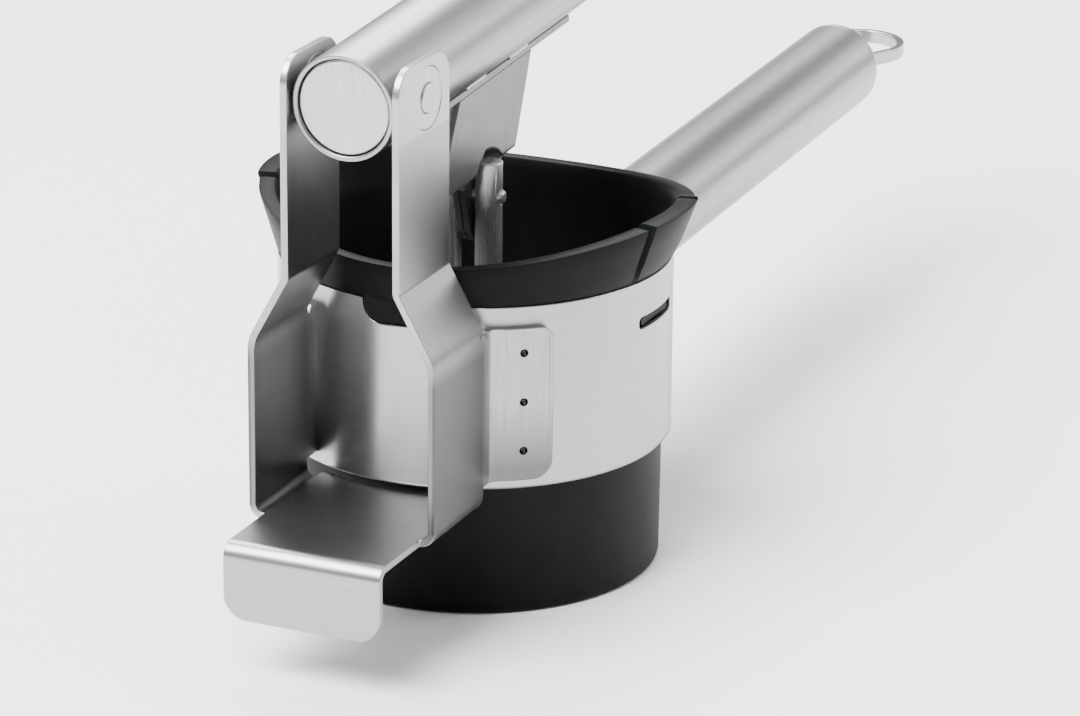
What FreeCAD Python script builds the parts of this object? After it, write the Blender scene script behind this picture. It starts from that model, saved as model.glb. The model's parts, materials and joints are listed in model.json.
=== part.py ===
import FreeCAD, Part
import math
import os
import re
import Sketcher

# Potato ricer: a folded yoke and a ring hold a moulded cup with a perforated
# bottom; a lever turns on the yoke's ears and drives a plunger down the cup.
#
# Frame, millimetres: origin at the centre of the cup's underside, +Z up along
# the cup's axis, +X towards the ends of the two handles, the yoke at -X.
# The model is at rest with the handles closed and the press disc at the bottom.

Vector = FreeCAD.Vector
X_AXIS = Vector(1, 0, 0)
Y_AXIS = Vector(0, 1, 0)
Z_AXIS = Vector(0, 0, 1)

doc = FreeCAD.newDocument("PotatoRicer")

# Driving dimensions, in millimetres and degrees.
DIMENSIONS = {
    # cutting tools: how far they stand proud, and a length that passes right through
    "spare": 5.0,
    "through": 200.0,
    # holder ring
    "ring_radius": 40.0,
    "ring_wall": 1.0,
    "ring_base": 27.0,
    "ring_height": 37.8,
    "ring_lip": 1.3,
    "ring_lip_height": 1.1,
    "ring_edge_round": 1.0,
    "notch_left": 6.3,
    "notch_right": -14.7,
    "notch_depth": 4.8,
    "notch_round": 4.2,
    "slot_half_length": 8.0,
    "slot_base": 54.8,
    "slot_height": 2.4,
    "slot_round": 1.15,
    # folded yoke
    "sheet": 1.5,
    "yoke_front": -62.4,
    "yoke_back": -39.8,
    "wall_half": 19.9,
    "ear_half": 12.45,
    "floor_top": 26.0,
    "floor_back_radius": 39.6,
    "lower_fold": 61.2,
    "upper_fold": 74.7,
    "ear_top": 118.0,
    "ear_corner": 5.5,
    "fold_round": 1.6,
    "lower_fold_round": 7.0,
    "floor_fold_round": 1.8,
    "tab_front": -80.0,
    "tab_half": 16.6,
    "tab_bottom": 10.7,
    "tab_corner": 5.0,
    "tab_fold_round": 1.6,
    "flange_base": 29.4,
    "flange_top": 60.9,
    "flange_start": 207.4,
    "flange_sweep": 18.6,
    "flange_top_round": 2.8,
    "flange_base_round": 4.2,
    "flange_bend_round": 2.0,
    "ring_room": 0.6,
    "relief_x": -38.6,
    "relief_half": 1.3,
    "relief_depth": 1.5,
    "relief_rise": 0.6,
    "weld_pit_turn": 142.4,
    "weld_pit_radius": 0.85,
    "weld_pit_centre": 41.5,
    "weld_pit_base": 35.6,
    "weld_pit_pitch": 10.1,
    "wall_back": -35.6,
    # cup
    "cup_foot_radius": 37.9,
    "cup_shoulder_radius": 38.4,
    "cup_wall": 1.8,
    "collar_seat": 65.0,
    "collar_top": 84.0,
    "collar_side": 47.6,
    "collar_end": 40.3,
    "mouth_side": 43.6,
    "mouth_end": 38.4,
    "mouth_base": 66.0,
    "saddle_low": 72.2,
    "saddle_radius": 185.0,
    "catch_gap": 0.4,
    "catch_half_length": 6.6,
    "catch_radius": 39.5,
    "tongue_gap": 0.25,
    # strainer disc
    "strainer_sheet": 0.8,
    "strainer_radius": 36.9,
    "strainer_step": 33.9,
    "strainer_hole": 1.4,
    "strainer_pitch": 5.4,
    "strainer_rows": 5,
    "strainer_gap": 0.1,
    # handles
    "tube_radius": 10.6,
    "tube_wall": 1.0,
    "end_cap_length": 4.0,
    "end_cap_round": 3.4,
    "end_cap_spigot": 9.0,
    "lower_height": 43.7,
    "lower_pitch": 1.39,
    "lower_length": 213.2,
    "pivot_x": -49.3,
    "pivot_z": 110.0,
    "lever_pitch": 3.33,
    "lever_front": -11.4,
    "lever_length": 262.6,
    "front_cap_recess": 0.5,
    "front_cap_gap": 0.22,
    "front_cap_head": 2.2,
    "front_cap_spigot": 2.8,
    "front_cap_round": 0.5,
    # hanging eye
    "eye_reach": 15.2,
    "eye_radius": 10.5,
    "eye_strip": 1.6,
    "eye_height": 3.2,
    "eye_apex": -4.4,
    "eye_root": 2.4,
    "eye_slot_half": 4.6,
    # pivot
    "axle_radius": 3.0,
    "axle_proud": 0.2,
    "bush_radius": 6.1,
    "bush_sunk": 0.15,
    "sleeve_radius": 5.0,
    "running_gap": 0.05,
    "sleeve_half": 10.4,
    # press link, in the lever's own frame
    "link_half": 4.2,
    "link_sheet": 1.4,
    "web_front": 22.0,
    "web_back": 85.6,
    "shoulder_front": 32.6,
    "shoulder_back": 67.0,
    "cheek_front": 25.4,
    "cheek_top": -22.3,
    "cheek_base": -31.3,
    "cheek_back": 32.9,
    "tongue_front": 39.0,
    "tongue_top": -33.8,
    "tongue_toe": 41.7,
    "tongue_heel": 52.0,
    "tongue_base": -46.0,
    "tongue_back": 57.0,
    "tongue_corner": 4.0,
    "link_pin_x": 43.5,
    "link_pin_z": -35.6,
    "rod_sweep": 8.6,
    "weld_radius": 0.9,
    "weld_length": 9.0,
    "weld_offset": 3.6,
    "weld_sink": 0.35,
    "weld_front": 34.6,
    "weld_back": 55.0,
    # plunger
    "pin_radius": 1.5,
    "pin_half": 8.0,
    "pin_end_round": 0.9,
    "rod_radius": 2.8,
    "rod_offset": 4.5,
    "rod_top": 84.3,
    "rod_top_round": 0.5,
    "disc_base": 1.3,
    "disc_sheet": 1.6,
    "disc_radius": 28.8,
    "disc_rim": 6.0,
    "disc_shift": 0.3,
    "disc_bend": 1.4,
    "disc_outer_bend": 2.0,
}

sizes = doc.addObject("Spreadsheet::Sheet", "Sizes")
for row, (alias, value) in enumerate(DIMENSIONS.items(), start=1):
    sizes.set(f"A{row}", alias)
    sizes.set(f"B{row}", str(value))
    sizes.setAlias(f"B{row}", alias)
doc.recompute()


def size(alias):
    """The value of one cell of the sheet."""
    return float(sizes.get(alias))


def expression(text):
    """Text such as "ring_radius - ring_wall" with each alias bound to the sheet."""
    def bound(word):
        return "Sizes." + word.group() if word.group() in DIMENSIONS else word.group()
    return re.sub(r"[a-z_]+", bound, str(text))


def value_of(text):
    """The number that an expression gives now."""
    return float(doc.getObject("Sizes").evalExpression(expression(text)))


def bind(feature, **properties):
    """Bind properties such as Radius or Height to expressions."""
    for name, text in properties.items():
        feature.setExpression(name, expression(text))


def place(feature, corner, rotation=None):
    """Put a feature at three bound coordinates, turned by a fixed rotation."""
    feature.Placement = FreeCAD.Placement(Vector(), rotation or FreeCAD.Rotation())
    for letter, text in zip("xyz", corner):
        feature.setExpression(f"Placement.Base.{letter}", expression(text))


def box(name, corner, spans):
    """A block from its lowest corner and its three spans."""
    feature = doc.addObject("Part::Box", name)
    bind(feature, Length=spans[0], Width=spans[1], Height=spans[2])
    place(feature, corner)
    return feature


def along(axis):
    """The rotation that lays a cylinder's axis along X, Y or Z."""
    return FreeCAD.Rotation(Z_AXIS, axis)


def cylinder(name, base, radius, height, axis=Z_AXIS):
    feature = doc.addObject("Part::Cylinder", name)
    bind(feature, Radius=radius, Height=height)
    place(feature, base, along(axis))
    return feature


def cone(name, base, low_radius, high_radius, height):
    feature = doc.addObject("Part::Cone", name)
    bind(feature, Radius1=low_radius, Radius2=high_radius, Height=height)
    place(feature, base)
    return feature


def cut(name, base, *tools):
    """The base with every tool taken away."""
    feature = doc.addObject("Part::Cut", name)
    feature.Base = base
    feature.Tool = tools[0] if len(tools) == 1 else fuse(name + "Tools", *tools)
    return feature


def fuse(name, *shapes):
    feature = doc.addObject("Part::MultiFuse", name)
    feature.Shapes = list(shapes)
    feature.Refine = True
    return feature


def common(name, *shapes):
    feature = doc.addObject("Part::MultiCommon", name)
    feature.Shapes = list(shapes)
    return feature


def fillet(name, base, rounds):
    """Round the edges that pass near the given points: [(point, radius), ...]."""
    doc.recompute()
    reach = 0.05
    edges = []
    for point, radius in rounds:
        probe = Part.Vertex(point)
        for number, edge in enumerate(base.Shape.Edges, start=1):
            if edge.distToShape(probe)[0] < reach:
                edges.append((number, radius, radius))
    feature = doc.addObject("Part::Fillet", name)
    feature.Base = base
    feature.Edges = edges
    return feature


SKETCH_PLANES = {
    "XY": (FreeCAD.Rotation(), Z_AXIS),
    "XZ": (FreeCAD.Rotation(X_AXIS, Z_AXIS, -Y_AXIS, "ZXY"), Y_AXIS),
    "YZ": (FreeCAD.Rotation(Y_AXIS, Z_AXIS, X_AXIS, "ZXY"), X_AXIS),
}


def prism(name, plane, outline, length, start=None):
    """A bound polygon in one plane, extruded along that plane's normal.

    With no start it is centred on the plane, and otherwise it runs from there.
    """
    rotation, normal = SKETCH_PLANES[plane]
    sketch = doc.addObject("Sketcher::SketchObject", name + "Outline")
    sketch.Placement = FreeCAD.Placement(Vector(), rotation)
    corners = [Vector(value_of(u), value_of(v), 0) for u, v in outline]
    count = len(corners)
    for number in range(count):
        sketch.addGeometry(Part.LineSegment(corners[number], corners[(number + 1) % count]))
    for number in range(count):
        joint = Sketcher.Constraint("Coincident", number, 2, (number + 1) % count, 1)
        sketch.addConstraint(joint)
    for number, (corner, texts) in enumerate(zip(corners, outline)):
        for kind, distance, text in zip(("DistanceX", "DistanceY"), corner[:2], texts):
            rule = Sketcher.Constraint(kind, -1, 1, number, 1, distance)
            index = sketch.addConstraint(rule)
            sketch.setExpression(f"Constraints[{index}]", expression(text))
    feature = doc.addObject("Part::Extrusion", name)
    feature.Base = sketch
    feature.DirMode = "Custom"
    feature.Dir = normal
    feature.Solid = True
    feature.Symmetric = start is None
    bind(feature, LengthFwd=length)
    if start is not None:
        offset = [start if normal[i] else "0" for i in range(3)]
        place(feature, offset)
    return feature


PARTS = []


def part(feature, label):
    """Mark a feature as one finished sub-part."""
    feature.Label = label
    PARTS.append(feature)
    return feature


def lay(feature, corner, pitch):
    """Set a handle's piece, drawn along X, at its root and raise it by its pitch."""
    place(feature, corner, FreeCAD.Rotation(-Y_AXIS, 1.0))
    feature.setExpression("Placement.Rotation.Angle", expression(pitch))


def on_lever(feature, label):
    lay(feature, ("pivot_x", "0", "pivot_z"), "lever_pitch")
    return part(feature, label)


def on_lower_handle(feature, label):
    lay(feature, ("0", "0", "lower_height"), "lower_pitch")
    return part(feature, label)


def holder_ring():
    """A thin ring with a rolled lower lip, a notch in front and two side slots."""
    outer = cylinder("RingOuter", ("0", "0", "ring_base"), "ring_radius", "ring_height")
    base_edge = Vector(size("ring_radius"), 0, size("ring_base"))
    rounded = fillet("RingRounded", outer, [(base_edge, size("ring_edge_round"))])
    bore = cylinder("RingBore", ("0", "0", "ring_base + ring_lip_height"),
                    "ring_radius - ring_wall", "ring_height")
    mouth = cylinder("RingMouth", ("0", "0", "0"), "ring_radius - ring_lip", "ring_height")
    notch = box("RingNotch", ("- ring_radius - spare", "notch_right",
                              "ring_base + ring_height - notch_depth"),
                ("0.5 * ring_radius", "notch_left - notch_right", "2 * notch_depth"))
    notch_base = size("ring_base") + size("ring_height") - size("notch_depth")
    corners = [(Vector(-size("ring_radius"), size(side), notch_base), size("notch_round"))
               for side in ("notch_left", "notch_right")]
    slots = box("RingSlots", ("- slot_half_length", "- ring_radius - spare", "slot_base"),
                ("2 * slot_half_length", "2 * ( ring_radius + spare )", "slot_height"))
    slot_ends = [(Vector(side * size("slot_half_length"), 0, level), size("slot_round"))
                 for side in (-1, 1)
                 for level in (size("slot_base"), size("slot_base") + size("slot_height"))]
    ring = cut("HolderRing", rounded, bore, mouth, fillet("RingNotchRounded", notch, corners),
               fillet("RingSlotsRounded", slots, slot_ends))
    part(ring, "holder_ring")


def yoke_bracket():
    """One folded sheet: hook tab, floor, two walls, two ears and two ring flanges."""
    lean = math.atan2(size("wall_half") - size("ear_half"),
                      size("upper_fold") - size("lower_fold"))
    fold = size("sheet") * math.tan(lean / 2.0)
    outer = [("wall_half", "floor_top - sheet"), ("wall_half", "lower_fold"),
             ("ear_half", "upper_fold"), ("ear_half", "ear_top")]
    inner = [("ear_half - sheet", "ear_top"), ("ear_half - sheet", f"upper_fold - {fold:.4f}"),
             ("wall_half - sheet", f"lower_fold - {fold:.4f}"), ("wall_half - sheet", "floor_top")]
    side = outer + inner
    mirrored = [(f"- ( {across} )", up) for across, up in reversed(side)]
    section = prism("YokeSection", "YZ", side + mirrored, "yoke_back - yoke_front", "yoke_front")

    middle = 0.5 * (size("yoke_front") + size("yoke_back"))
    thick = size("sheet")
    inside = size("fold_round")
    outside = inside + thick
    folds = []
    for hand in (-1, 1):
        wall = size("wall_half")
        ear = size("ear_half")
        low, high = size("lower_fold"), size("upper_fold")
        folds += [
            (Vector(middle, hand * wall, low), size("lower_fold_round") + thick),
            (Vector(middle, hand * (wall - thick), low - fold), size("lower_fold_round")),
            (Vector(middle, hand * ear, high), inside),
            (Vector(middle, hand * (ear - thick), high - fold), outside),
            (Vector(middle, hand * wall, size("floor_top") - thick),
             size("floor_fold_round") + thick),
            (Vector(middle, hand * (wall - thick), size("floor_top")), size("floor_fold_round")),
        ]
        for end in ("yoke_front", "yoke_back"):
            corner = Vector(size(end), hand * (ear - 0.5 * thick), size("ear_top"))
            folds.append((corner, size("ear_corner")))
    folded = fillet("YokeFolded", section, folds)

    hook = prism("YokeHook", "XZ",
                 [("tab_front", "tab_bottom"), ("tab_front", "floor_top"),
                  ("- floor_back_radius + spare", "floor_top"),
                  ("- floor_back_radius + spare", "floor_top - sheet"),
                  ("tab_front + sheet", "floor_top - sheet"),
                  ("tab_front + sheet", "tab_bottom")], "2 * tab_half")
    tab_rounds = [
        (Vector(size("tab_front"), 0, size("floor_top")), size("tab_fold_round") + thick),
        (Vector(size("tab_front") + thick, 0, size("floor_top") - thick),
         size("tab_fold_round")),
    ]
    for hand in (-1, 1):
        corner = Vector(size("tab_front") + 0.5 * thick, hand * size("tab_half"),
                        size("tab_bottom"))
        tab_rounds.append((corner, size("tab_corner")))
    hooked = fillet("YokeHooked", hook, tab_rounds)

    walls = []
    flanges = []
    for hand, side_name in ((-1, "Right"), (1, "Left")):
        low_edge = "- wall_half" if hand < 0 else "wall_half - sheet"
        walls.append(box("YokeWall" + side_name, ("yoke_back - sheet", low_edge, "flange_base"),
                         ("wall_back - yoke_back + sheet", "sheet", "flange_top - flange_base")))
        outer_arc = cylinder("FlangeOuter" + side_name, ("0", "0", "flange_base"),
                             "ring_radius + sheet", "flange_top - flange_base")
        start = size("flange_start") if hand < 0 else -size("flange_start") - size("flange_sweep")
        bind(outer_arc, Angle="flange_sweep")
        outer_arc.Placement.Rotation = FreeCAD.Rotation(Z_AXIS, start)
        inner_arc = cylinder("FlangeInner" + side_name, ("0", "0", "0"), "ring_radius",
                             "flange_top + spare")
        flange = cut("Flange" + side_name, outer_arc, inner_arc)
        free_end = math.radians(hand * -(size("flange_start") + size("flange_sweep")))
        middle_radius = size("ring_radius") + 0.5 * thick
        rounds = [(Vector(middle_radius * math.cos(free_end), middle_radius * math.sin(free_end),
                          size(level)), size(radius))
                  for level, radius in (("flange_top", "flange_top_round"),
                                        ("flange_base", "flange_base_round"))]
        flanges.append(fillet("FlangeRounded" + side_name, flange, rounds))
    sheet_metal = fuse("YokeSheet", folded, hooked, *walls, *flanges)
    bend_x = -math.sqrt((size("ring_radius") + thick) ** 2 - size("wall_half") ** 2)
    bend_z = 0.5 * (size("flange_base") + size("flange_top"))
    bends = [(Vector(bend_x, hand * size("wall_half"), bend_z), size("flange_bend_round"))
             for hand in (-1, 1)]
    bent = fillet("YokeBent", sheet_metal, bends)

    ring_room = cylinder("YokeRingRoom", ("0", "0", "ring_base - ring_room"), "ring_radius",
                         "through")
    floor_room = cylinder("YokeFloorRoom", ("0", "0", "0"), "floor_back_radius", "ring_base")
    ear_holes = across_hole("YokeEarHoles", ("pivot_x", "pivot_z"), "bush_radius")
    relief = prism("YokeRelief", "XZ",
                   [("relief_x", "flange_top - relief_depth"),
                    ("relief_x + relief_half", "flange_top + relief_rise"),
                    ("relief_x - relief_half", "flange_top + relief_rise")], "through")
    part(cut("YokeBracket", bent, ring_room, floor_room, ear_holes, relief, *weld_pits()),
         "yoke_bracket")


def across_hole(name, centre, radius):
    """A drill that passes right through along Y at one X and Z."""
    return cylinder(name, (centre[0], "- 0.5 * through", centre[1]), radius, "through", Y_AXIS)


def weld_pits():
    """The six small pits that spot welding left in the two flanges."""
    pits = []
    for hand in (-1, 1):
        for number in range(3):
            pit = doc.addObject("Part::Sphere", "WeldPit")
            bind(pit, Radius="weld_pit_radius")
            place(pit, ("weld_pit_centre * cos(weld_pit_turn)",
                        f"{hand} * weld_pit_centre * sin(weld_pit_turn)",
                        f"weld_pit_base + {number} * weld_pit_pitch"))
            pits.append(pit)
    return pits


def saddle_cut(name):
    """The large cylinder along X whose underside is the collar's saddle top."""
    return cylinder(name, ("- 0.5 * through", "0", "saddle_low + saddle_radius"),
                    "saddle_radius", "through", X_AXIS)


def flare(name, end_radius, side_radius, low_radius, low, high):
    """A loft from a circle up to an ellipse that is wider along Y."""
    quarter = FreeCAD.Rotation(Z_AXIS, 90)
    circle = doc.addObject("Part::Circle", name + "Circle")
    bind(circle, Radius=low_radius)
    place(circle, ("0", "0", low), quarter)
    ellipse = doc.addObject("Part::Ellipse", name + "Ellipse")
    ellipse.MajorRadius = value_of(side_radius)
    ellipse.MinorRadius = value_of(end_radius)
    bind(ellipse, MajorRadius=side_radius, MinorRadius=end_radius)
    place(ellipse, ("0", "0", high), quarter)
    loft = doc.addObject("Part::Loft", name)
    loft.Sections = [circle, ellipse]
    loft.Solid = True
    loft.Ruled = True
    return loft


def ricer_cup():
    """A tapered moulded cup with a flared saddle collar, a key tongue and two catches."""
    wall = cone("CupWall", ("0", "0", "0"), "cup_foot_radius", "cup_shoulder_radius",
                "collar_seat")
    collar = flare("CupCollar", "collar_end", "collar_side", "ring_radius", "collar_seat",
                   "collar_top")
    tongue_box = box("CupTongueBox", ("- ring_radius - spare", "notch_right + tongue_gap",
                                      "ring_base + ring_height - notch_depth + tongue_gap"),
                     ("0.5 * ring_radius", "notch_left - notch_right - 2 * tongue_gap",
                      "collar_seat - ring_base - ring_height + notch_depth - tongue_gap"))
    tongue_base = size("ring_base") + size("ring_height") - size("notch_depth") \
        + size("tongue_gap")
    corners = [(Vector(-size("ring_radius"), size("notch_left") - size("tongue_gap"),
                       tongue_base), size("notch_round")),
               (Vector(-size("ring_radius"), size("notch_right") + size("tongue_gap"),
                       tongue_base), size("notch_round"))]
    tongue_room = cylinder("CupTongueRoom", ("0", "0", "0"), "ring_radius", "through")
    tongue = common("CupTongue", fillet("CupTongueRounded", tongue_box, corners), tongue_room)
    catch_box = box("CupCatchBox",
                    ("- catch_half_length", "- ring_radius", "slot_base + catch_gap"),
                    ("2 * catch_half_length", "2 * ring_radius", "slot_height - 2 * catch_gap"))
    catch_room = cylinder("CupCatchRoom", ("0", "0", "0"), "catch_radius", "through")
    catches = common("CupCatches", catch_box, catch_room)
    body = fuse("CupBody", wall, collar, tongue, catches)

    bore = cone("CupBore", ("0", "0", "2 * strainer_sheet"), "cup_foot_radius - cup_wall",
                "cup_shoulder_radius - cup_wall", "mouth_base - 2 * strainer_sheet")
    seat = cylinder("CupSeat", ("0", "0", "strainer_sheet"), "strainer_radius",
                    "strainer_sheet")
    opening = cylinder("CupOpening", ("0", "0", "- spare"), "strainer_step + strainer_gap",
                       "2 * spare")
    mouth = flare("CupMouth", "mouth_end", "mouth_side", "cup_shoulder_radius - cup_wall",
                  "mouth_base", "collar_top")
    part(cut("RicerCup", body, bore, seat, opening, mouth, saddle_cut("CupSaddle")),
         "ricer_cup")


def strainer_holes():
    """The drill group of the strainer: concentric circles of round holes."""
    drills = []
    for ring in range(1, int(size("strainer_rows")) + 1):
        radius = ring * size("strainer_pitch")
        for number in range(6 * ring):
            angle = 2.0 * math.pi * number / (6 * ring)
            base = Vector(radius * math.cos(angle), radius * math.sin(angle), -size("spare"))
            drills.append(Part.makeCylinder(size("strainer_hole"), 2 * size("spare"), base))
    holes = doc.addObject("Part::Feature", "StrainerHoles")
    holes.Shape = Part.makeCompound(drills)
    return holes


def strainer_disc():
    """A stepped disc: its rim lies in the cup's seat, its plate is flush with the foot."""
    rim = cylinder("StrainerRim", ("0", "0", "strainer_sheet"), "strainer_radius",
                   "strainer_sheet")
    plate = cylinder("StrainerPlate", ("0", "0", "0"), "strainer_step", "strainer_sheet")
    recess = cylinder("StrainerRecess", ("0", "0", "strainer_sheet"),
                      "strainer_step - strainer_sheet", "spare")
    blank = fuse("StrainerBlank", rim, plate)
    part(cut("StrainerDisc", blank, recess, strainer_holes()), "strainer_disc")


def tube(name, start, end):
    """A round tube along X."""
    outer = cylinder(name + "Outer", (start, "0", "0"), "tube_radius", f"{end} - ( {start} )",
                     X_AXIS)
    bore = cylinder(name + "Bore", (f"{start} - spare", "0", "0"), "tube_radius - tube_wall",
                    f"{end} - ( {start} ) + 2 * spare", X_AXIS)
    return outer, bore


def end_cap(name, end):
    """The rounded cap that closes a handle's far end, with its spigot in the tube."""
    head = cylinder(name + "Head", (f"{end} - end_cap_length", "0", "0"), "tube_radius",
                    "end_cap_length", X_AXIS)
    edge = Vector(value_of(end), 0, size("tube_radius"))
    domed = fillet(name + "Domed", head, [(edge, size("end_cap_round"))])
    spigot = cylinder(name + "Spigot", (f"{end} - end_cap_length - end_cap_spigot", "0", "0"),
                      "tube_radius - tube_wall", "end_cap_spigot", X_AXIS)
    return fuse(name, domed, spigot)


def teardrop(name, shrink):
    """A round-ended loop outline that narrows to its apex, extruded upright."""
    round_end = cylinder(name + "Round", ("eye_reach", "0", "- eye_height"),
                         f"eye_radius - {shrink}", "2 * eye_height")
    radius = value_of(f"eye_radius - {shrink}")
    apex = size("eye_apex") + (value_of(shrink) / math.sin(math.asin(
        size("eye_radius") / (size("eye_reach") - size("eye_apex")))))
    half_angle = math.asin(radius / (size("eye_reach") - apex))
    tangent_x = size("eye_reach") - radius * math.sin(half_angle)
    tangent_y = radius * math.cos(half_angle)
    wedge = prism(name + "Wedge", "XY",
                  [(f"{apex:.4f}", "0"), (f"{tangent_x:.4f}", f"- {tangent_y:.4f}"),
                   (f"{tangent_x:.4f}", f"{tangent_y:.4f}")], "2 * eye_height")
    return fuse(name, round_end, wedge)


def hanging_eye():
    """A flat strip bent to a teardrop, its two ends let into the lower cap."""
    loop = cut("EyeLoop", teardrop("EyeOuter", "0"), teardrop("EyeInner", "eye_strip"))
    room = box("EyeRoom", ("- eye_root", "- 0.5 * through", "- 0.5 * eye_height"),
               ("through", "through", "eye_height"))
    return common("EyeStrip", loop, room)


def lower_handle():
    outer, bore = tube("LowerTube", "0.5 * ring_radius", "lower_length - end_cap_length")
    cope = cylinder("LowerTubeCope", ("0", "0", "- 0.5 * through"), "ring_radius", "through")
    on_lower_handle(cut("LowerHandleTube", outer, bore, cope), "lower_handle_tube")
    cap = end_cap("LowerEndCapBlank", "lower_length")
    slot = box("LowerEndCapSlot",
               ("lower_length - eye_root", "- eye_slot_half", "- 0.5 * eye_height"),
               ("2 * eye_root", "2 * eye_slot_half", "eye_height"))
    on_lower_handle(cut("LowerEndCap", cap, slot), "lower_handle_end_cap")
    eye = hanging_eye()
    part(eye, "hanging_eye")
    lay(eye, ("lower_length * cos(lower_pitch)", "0",
              "lower_height + lower_length * sin(lower_pitch)"), "lower_pitch")


def upper_handle():
    outer, bore = tube("LeverTube", "lever_front", "lever_length - end_cap_length")
    cross = across_hole("LeverTubeCross", ("0", "0"), "sleeve_radius")
    on_lever(cut("UpperHandleTube", outer, bore, cross), "upper_handle_tube")

    on_lever(end_cap("UpperEndCap", "lever_length"), "upper_handle_end_cap")

    head = cylinder("FrontCapHead", ("lever_front + front_cap_recess", "0", "0"),
                    "tube_radius - tube_wall - front_cap_gap", "front_cap_head", X_AXIS)
    face_edge = Vector(size("lever_front") + size("front_cap_recess"), 0,
                       size("tube_radius") - size("tube_wall") - size("front_cap_gap"))
    eased_head = fillet("FrontCapEased", head, [(face_edge, size("front_cap_round"))])
    spigot = cylinder("FrontCapSpigot", ("lever_front + front_cap_recess + front_cap_head",
                                         "0", "0"),
                      "tube_radius - tube_wall", "front_cap_spigot", X_AXIS)
    on_lever(fuse("FrontCap", eased_head, spigot), "upper_handle_front_cap")

    barrel = cylinder("SleeveBarrel", ("0", "- sleeve_half", "0"), "sleeve_radius",
                      "2 * sleeve_half", Y_AXIS)
    sleeve_bore = across_hole("SleeveBore", ("0", "0"), "axle_radius + running_gap")
    trim = cylinder("SleeveTrim", ("- 0.5 * through", "0", "0"), "tube_radius", "through",
                    X_AXIS)
    on_lever(cut("PivotSleeve", common("SleeveTrimmed", barrel, trim), sleeve_bore),
             "pivot_sleeve")


def pivot():
    """The fixed axle and the two bushes that carry it in the yoke's ears."""
    axle = cylinder("PivotAxle", ("pivot_x", "- ear_half - axle_proud", "pivot_z"),
                    "axle_radius", "2 * ( ear_half + axle_proud )", Y_AXIS)
    part(axle, "pivot_axle")
    for label, start in (("right", "- ear_half + bush_sunk"), ("left", "ear_half - sheet")):
        disc = cylinder("Bush" + label, ("pivot_x", start, "pivot_z"), "bush_radius",
                        "sheet - bush_sunk", Y_AXIS)
        hole = across_hole("BushHole" + label, ("pivot_x", "pivot_z"), "axle_radius")
        part(cut("PivotBush" + label, disc, hole), "pivot_bush_" + label)


def press_link():
    """A folded link under the lever: a web, two cheeks, and a tongue where they meet."""
    outline = [("shoulder_front", "- tube_radius"), ("cheek_front", "cheek_top"),
               ("cheek_front", "cheek_base"), ("cheek_back", "cheek_base"),
               ("tongue_front", "tongue_top"), ("tongue_toe", "tongue_base"),
               ("tongue_heel", "tongue_base"), ("tongue_back", "cheek_base"),
               ("shoulder_back", "- tube_radius")]
    cheeks = prism("LinkCheeks", "XZ", outline, "2 * link_half")
    web = box("LinkWeb", ("web_front", "- link_half", "- tube_radius - link_sheet"),
              ("web_back - web_front", "2 * link_half", "link_sheet"))
    blank = fuse("LinkBlank", cheeks, web)

    hollow_box = box("LinkHollowBox", ("0", "- link_half + link_sheet", "tongue_base"),
                     ("through", "2 * ( link_half - link_sheet )",
                      "- tongue_base - tube_radius - link_sheet"))
    core = across_hole("LinkCore", ("link_pin_x", "link_pin_z"), "rod_sweep + link_sheet")
    tongue_room = box("LinkTongueRoom",
                      ("cheek_back - link_sheet", "- 0.5 * through", "- through"),
                      ("through", "through", "through + cheek_base + link_sheet"))
    hollow = cut("LinkHollow", hollow_box, core, tongue_room)

    pockets = []
    for side_name, start in (("Right", "- link_sheet - through"), ("Left", "link_sheet")):
        disc = cylinder("LinkSweep" + side_name, ("link_pin_x", start, "link_pin_z"),
                        "rod_sweep", "through", Y_AXIS)
        below = box("LinkBelow" + side_name, ("0", start, "- through"),
                    ("link_pin_x + rod_sweep", "through", "through + cheek_base"))
        pockets += [disc, below]
    pin_hole = across_hole("LinkPinHole", ("link_pin_x", "link_pin_z"),
                           "pin_radius + running_gap")
    link = cut("PressLinkSharp", blank, hollow, *pockets, pin_hole)
    corners = [(Vector(size(across), 0, size("tongue_base")), size("tongue_corner"))
               for across in ("tongue_toe", "tongue_heel")]
    on_lever(fillet("PressLink", link, corners), "press_link")


def link_welds():
    """Short beads in the grooves between the lever tube and the link's web."""
    beads = []
    for number, start in enumerate(("weld_front", "weld_back")):
        for side_name, across in (("Right", "- weld_offset"), ("Left", "weld_offset")):
            beads.append(cylinder(f"Bead{side_name}{number}",
                                  (start, across, "weld_sink - tube_radius"), "weld_radius",
                                  "weld_length", X_AXIS))
    tube_room = cylinder("BeadTubeRoom", ("0", "0", "0"), "tube_radius", "through", X_AXIS)
    web_room = box("BeadWebRoom", ("0", "- link_half", "- tube_radius - spare"),
                   ("through", "2 * link_half", "spare"))
    on_lever(cut("LinkWelds", fuse("Beads", *beads), tube_room, web_room), "link_weld_beads")


def plunger_x():
    """Where the link's pin stands when the lever is at rest."""
    return ("pivot_x + link_pin_x * cos(lever_pitch) "
            "- link_pin_z * sin(lever_pitch)")


def plunger_pin_z():
    return ("pivot_z + link_pin_x * sin(lever_pitch) "
            "+ link_pin_z * cos(lever_pitch)")


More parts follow.
